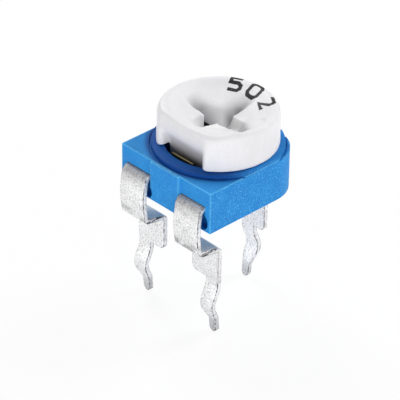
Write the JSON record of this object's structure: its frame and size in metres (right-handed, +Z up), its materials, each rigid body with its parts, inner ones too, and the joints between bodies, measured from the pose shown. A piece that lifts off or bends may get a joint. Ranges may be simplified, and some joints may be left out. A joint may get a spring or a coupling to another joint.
{
  "type": "trimmer potentiometer",
  "caption": "Top-adjust carbon trimmer potentiometer: blue square housing with a round collar, white dished knob with a cross recess, and snap-in sheet-metal leads.",
  "frame": {"origin": "on the rotor's axis, on the circuit board's upper face, where the lead shoulders rest", "axes": "+Z up along the rotor's axis; -Y towards the face with two leads; +X to the right of that face"},
  "size_m": [0.0066, 0.0077, 0.0113],
  "materials": {
    "blue_plastic": "moulded, finely grained on the sides",
    "white_plastic": "smooth moulded",
    "tinned_metal": "matte tin plating, slightly speckled",
    "wiper_metal": "rolled spring sheet",
    "board_ceramic": "fired, matte",
    "carbon_film": "printed carbon film",
    "silver_film": "printed silver film"
  },
  "bodies": {
    "base": {"housing": "blue_plastic", "substrate": "board_ceramic", "resistive_track": "carbon_film", "collector_ring": "silver_film", "left_electrode": "silver_film", "right_electrode": "silver_film", "centre_eyelet": "tinned_metal", "left_terminal": "tinned_metal", "right_terminal": "tinned_metal", "centre_terminal": "tinned_metal"},
    "rotor": {"rotor": "white_plastic", "wiper": "wiper_metal"}
  },
  "joints": [
    {"name": "rotor_turn", "type": "hinge", "parent": "base", "child": "rotor", "pos_m": [0, 0, 0], "axis": [0, 0, 1], "range_deg": [-105, 105]}
  ]
}
